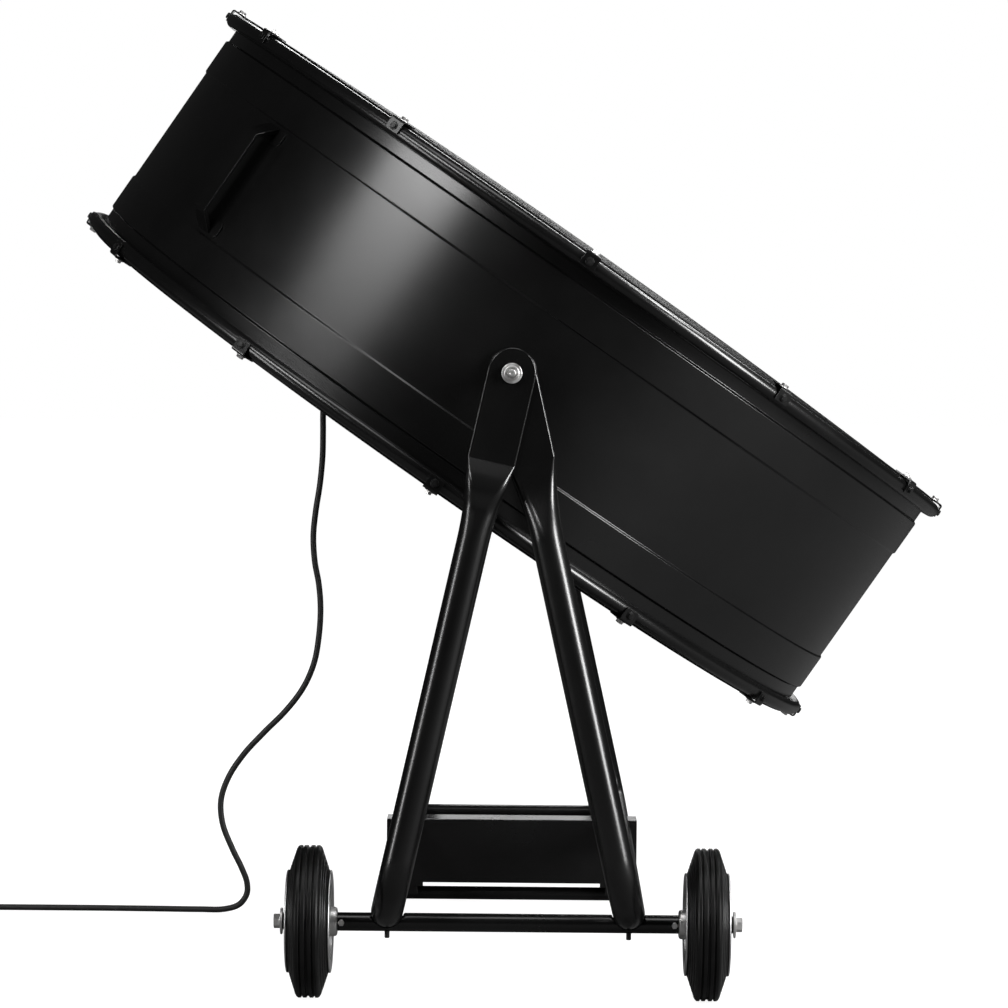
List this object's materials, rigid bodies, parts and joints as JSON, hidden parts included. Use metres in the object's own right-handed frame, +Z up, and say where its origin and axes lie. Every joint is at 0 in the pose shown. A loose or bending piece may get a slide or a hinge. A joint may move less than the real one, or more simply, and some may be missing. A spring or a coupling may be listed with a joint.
{
  "type": "drum fan",
  "caption": "Large drum fan on a wheeled tube stand, with wire grilles, a bladed rotor in an open steel drum, a tilting axis and a power cord.",
  "frame": {"origin": "on the floor, straight under the middle of the drum's tilting axis", "axes": "+Y along the tilting axis from the wheels' side towards the foot's side, +Z up, +X to the side that the drum's outlet leans to"},
  "size_m": [1.3843, 1.2202, 1.199],
  "materials": {
    "black_paint": "gloss black powder coat",
    "black_wire": "gloss black powder coat on wire",
    "motor_paint": "satin black",
    "motor_cover": "cast, satin",
    "bare_steel": "satin",
    "black_steel": "black oxide",
    "blade_metal": "mill finish",
    "black_plastic": "satin",
    "pad_rubber": "matte",
    "tyre_rubber": "matte, ribbed round the wheel",
    "rim_zinc": "zinc plated",
    "zinc": "bright zinc plated",
    "cord_rubber": "matte jacket"
  },
  "bodies": {
    "stand": {"axle_tube": "black_paint", "far_crossbar": "black_paint", "leg_loop_left": "black_paint", "leg_loop_right": "black_paint", "frame_bolt_near_left": "black_steel", "frame_bolt_far_left": "black_steel", "frame_bolt_near_right": "black_steel", "frame_bolt_far_right": "black_steel", "foot_panel": "black_paint", "foot_rail": "black_paint", "foot_bracket_left": "black_paint", "foot_bracket_right": "black_paint", "foot_pad_left": "pad_rubber", "foot_pad_right": "pad_rubber", "axle_end_washer_left": "zinc", "axle_end_washer_right": "zinc", "axle_end_bolt_left": "zinc", "axle_end_bolt_right": "zinc", "axle_lock_bolt_left": "zinc", "axle_lock_bolt_right": "zinc", "power_cord": "cord_rubber", "cord_coil": "cord_rubber", "cord_tie": "black_plastic", "plug_lead": "cord_rubber", "plug": "black_plastic"},
    "drum": {"drum_shell": "black_paint", "front_ring": "black_paint", "rear_ring": "black_paint", "front_grille": "black_wire", "rear_grille": "black_wire", "handle_near": "black_paint", "handle_far": "black_paint", "motor_strut_near": "black_paint", "motor_strut_far": "black_paint", "motor_plate_front": "black_paint", "motor_plate_rear": "black_paint", "motor_body": "motor_paint", "motor_front_cover": "motor_cover", "motor_rear_cover": "motor_cover", "switch_box": "black_plastic", "cable_gland": "black_plastic", "motor_lead": "cord_rubber", "pivot_spacer_near": "black_paint", "pivot_spacer_far": "black_paint", "pivot_bolt_near": "zinc", "pivot_bolt_far": "zinc", "pivot_nut_near": "zinc", "pivot_nut_far": "zinc"},
    "rotor": {"motor_shaft": "bare_steel", "fan_hub": "bare_steel", "blade_1": "blade_metal", "blade_2": "blade_metal", "blade_3": "blade_metal"},
    "wheel_left": {"tyre_left": "tyre_rubber", "rim_left": "rim_zinc", "hub_left": "zinc"},
    "wheel_right": {"tyre_right": "tyre_rubber", "rim_right": "rim_zinc", "hub_right": "zinc"},
    "knob": {"speed_knob": "black_plastic"}
  },
  "joints": [
    {"name": "drum_tilt", "type": "hinge", "parent": "stand", "child": "drum", "pos_m": [0, 0, 0.742], "axis": [0, 1, 0], "range_deg": [-34.5, 55.5], "deforming": ["power_cord"]},
    {"name": "rotor_spin", "type": "hinge", "parent": "drum", "child": "rotor", "pos_m": [0, 0, 0.742], "axis": [0.5664, 0, 0.8241], "continuous": true},
    {"name": "wheel_left_spin", "type": "hinge", "parent": "stand", "child": "wheel_left", "pos_m": [-0.2352, -0.517, 0.09], "axis": [1, 0, 0], "continuous": true},
    {"name": "wheel_right_spin", "type": "hinge", "parent": "stand", "child": "wheel_right", "pos_m": [0.2352, -0.517, 0.09], "axis": [1, 0, 0], "continuous": true},
    {"name": "speed_switch", "type": "hinge", "parent": "drum", "child": "knob", "pos_m": [-0.23485, 0.165, 0.70926], "axis": [-0.5664, 0, -0.8241], "range_deg": [0, 120]}
  ]
}
